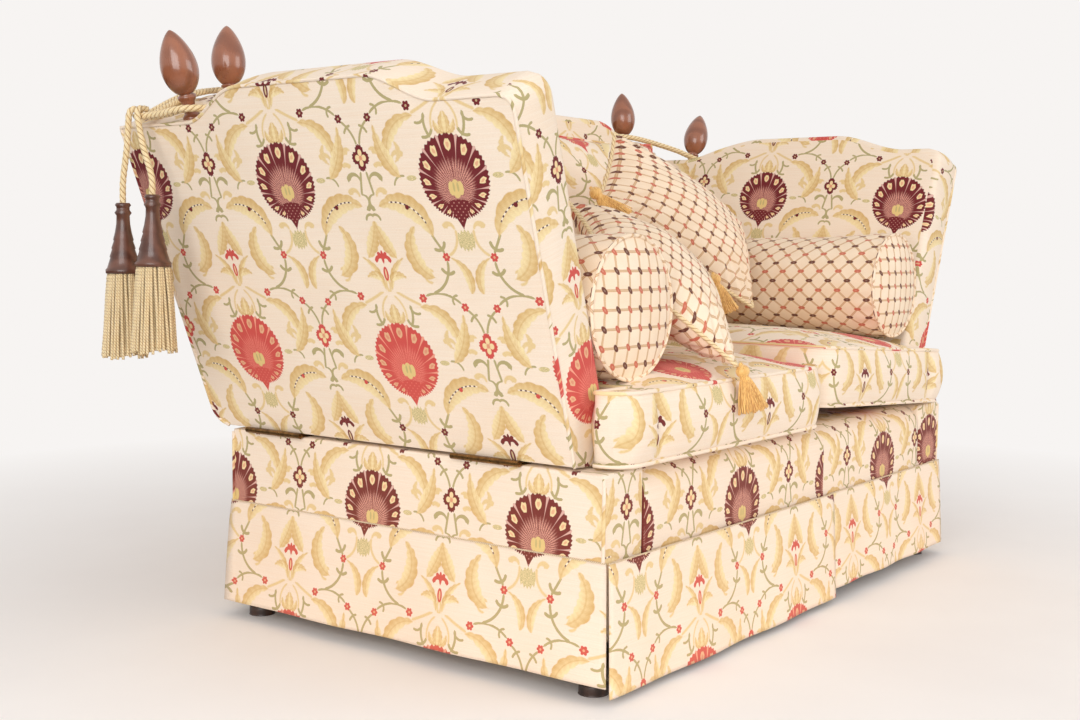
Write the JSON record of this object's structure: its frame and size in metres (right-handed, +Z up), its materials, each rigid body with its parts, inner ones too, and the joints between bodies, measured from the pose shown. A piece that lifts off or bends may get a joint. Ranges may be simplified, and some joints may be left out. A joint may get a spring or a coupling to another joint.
{
  "type": "knole sofa",
  "caption": "Damask knole sofa whose leaning arms drop on hinges, tied up by ropes to its high back, with loose seat, back, bolster and scatter cushions.",
  "frame": {"origin": "middle of the sofa's box at floor level", "axes": "+X is to the right as one faces the sofa, its front faces -Y, and +Z is up"},
  "size_m": [2.0012, 1.0502, 1.1701],
  "materials": {
    "damask": "woven damask, cream ground with maroon, coral, gold and olive",
    "lattice": "woven cream cloth with an ochre lattice and small beads",
    "rope": "twisted cream and gold cord",
    "fringe": "cut gold fringe",
    "mahogany": "turned and polished dark red wood",
    "dark_wood": "stained, waxed",
    "frame_wood": "plain sawn beech",
    "lining": "black lining cloth",
    "brass": "aged brass"
  },
  "bodies": {
    "root": {"back_border": "damask", "back_panel": "damask", "back_rail": "frame_wood", "back_valance": "damask", "dust_cover": "lining", "front_border": "damask", "front_rail": "frame_wood", "left_arm_base": "damask", "left_back_finial": "mahogany", "left_back_foot": "dark_wood", "left_back_hinge_base_leaf": "brass", "left_back_post": "frame_wood", "left_front_foot": "dark_wood", "left_front_hinge_base_leaf": "brass", "left_front_valance": "damask", "left_side_valance": "damask", "right_arm_base": "damask", "right_back_finial": "mahogany", "right_back_foot": "dark_wood", "right_back_hinge_base_leaf": "brass", "right_back_post": "frame_wood", "right_front_foot": "dark_wood", "right_front_hinge_base_leaf": "brass", "right_front_valance": "damask", "right_side_valance": "damask", "seat_bearer": "frame_wood", "seat_deck": "lining"},
    "left_arm": {"left_arm_panel": "damask", "left_front_hinge_arm_leaf": "brass", "left_back_hinge_arm_leaf": "brass", "left_arm_finial": "mahogany", "left_tie_rope": "rope"},
    "left_tassels": {"left_front_tassel_cord": "rope", "left_front_tassel_bell": "mahogany", "left_front_tassel_skirt": "fringe", "left_back_tassel_cord": "rope", "left_back_tassel_bell": "mahogany", "left_back_tassel_skirt": "fringe"},
    "left_seat_cushion": {"left_seat_cushion": "damask"},
    "left_back_cushion": {"left_back_cushion": "damask"},
    "left_bolster": {"left_bolster": "lattice"},
    "right_arm": {"right_arm_panel": "damask", "right_front_hinge_arm_leaf": "brass", "right_back_hinge_arm_leaf": "brass", "right_arm_finial": "mahogany", "right_tie_rope": "rope"},
    "right_tassels": {"right_front_tassel_cord": "rope", "right_front_tassel_bell": "mahogany", "right_front_tassel_skirt": "fringe", "right_back_tassel_cord": "rope", "right_back_tassel_bell": "mahogany", "right_back_tassel_skirt": "fringe"},
    "right_seat_cushion": {"right_seat_cushion": "damask"},
    "right_back_cushion": {"right_back_cushion": "damask"},
    "right_bolster": {"right_bolster": "lattice"},
    "front_scatter_cushion": {"front_scatter_cushion": "lattice", "cushion_tassel_1": "fringe", "cushion_tassel_2": "fringe", "cushion_tassel_3": "fringe"},
    "rear_scatter_cushion": {"rear_scatter_cushion": "lattice"}
  },
  "joints": [
    {"name": "left_arm_hinge", "type": "hinge", "parent": "root", "child": "left_arm", "pos_m": [-0.733, -0.01141, 0.378], "axis": [0, -1, 0], "range_deg": [0, 60], "deforming": ["left_tie_rope"]},
    {"name": "left_tassel_swing", "type": "hinge", "parent": "left_arm", "child": "left_tassels", "pos_m": [-0.9434, 0.43559, 0.9745], "axis": [0, -1, 0], "range_deg": [-60, 0], "deforming": ["left_front_tassel_cord", "left_back_tassel_cord"]},
    {"name": "right_arm_hinge", "type": "hinge", "parent": "root", "child": "right_arm", "pos_m": [0.733, -0.01141, 0.378], "axis": [0, 1, 0], "range_deg": [0, 60], "deforming": ["right_tie_rope"]},
    {"name": "right_tassel_swing", "type": "hinge", "parent": "right_arm", "child": "right_tassels", "pos_m": [0.9434, 0.43559, 0.9745], "axis": [0, 1, 0], "range_deg": [-60, 0], "deforming": ["right_front_tassel_cord", "right_back_tassel_cord"]},
    {"name": "left_seat_cushion_lift", "type": "slide", "parent": "root", "child": "left_seat_cushion", "axis": [0, 0, 1], "range_m": [0, 0.85]},
    {"name": "left_back_cushion_lift", "type": "slide", "parent": "left_seat_cushion", "child": "left_back_cushion", "axis": [0, 0, 1], "range_m": [0, 0.7]},
    {"name": "left_bolster_lift", "type": "slide", "parent": "left_seat_cushion", "child": "left_bolster", "axis": [0, 0, 1], "range_m": [0, 0.7]},
    {"name": "right_seat_cushion_lift", "type": "slide", "parent": "root", "child": "right_seat_cushion", "axis": [0, 0, 1], "range_m": [0, 0.85]},
    {"name": "right_back_cushion_lift", "type": "slide", "parent": "right_seat_cushion", "child": "right_back_cushion", "axis": [0, 0, 1], "range_m": [0, 0.7]},
    {"name": "right_bolster_lift", "type": "slide", "parent": "right_seat_cushion", "child": "right_bolster", "axis": [0, 0, 1], "range_m": [0, 0.7]},
    {"name": "front_scatter_cushion_lift", "type": "slide", "parent": "left_bolster", "child": "front_scatter_cushion", "axis": [0, 0, 1], "range_m": [0, 0.7]},
    {"name": "rear_scatter_cushion_lift", "type": "slide", "parent": "right_bolster", "child": "rear_scatter_cushion", "axis": [0, 0, 1], "range_m": [0, 0.7]}
  ],
  "couplings": [
    {"joint": "left_tassel_swing", "follows": "left_arm_hinge", "ratio": -1},
    {"joint": "right_tassel_swing", "follows": "right_arm_hinge", "ratio": -1}
  ]
}
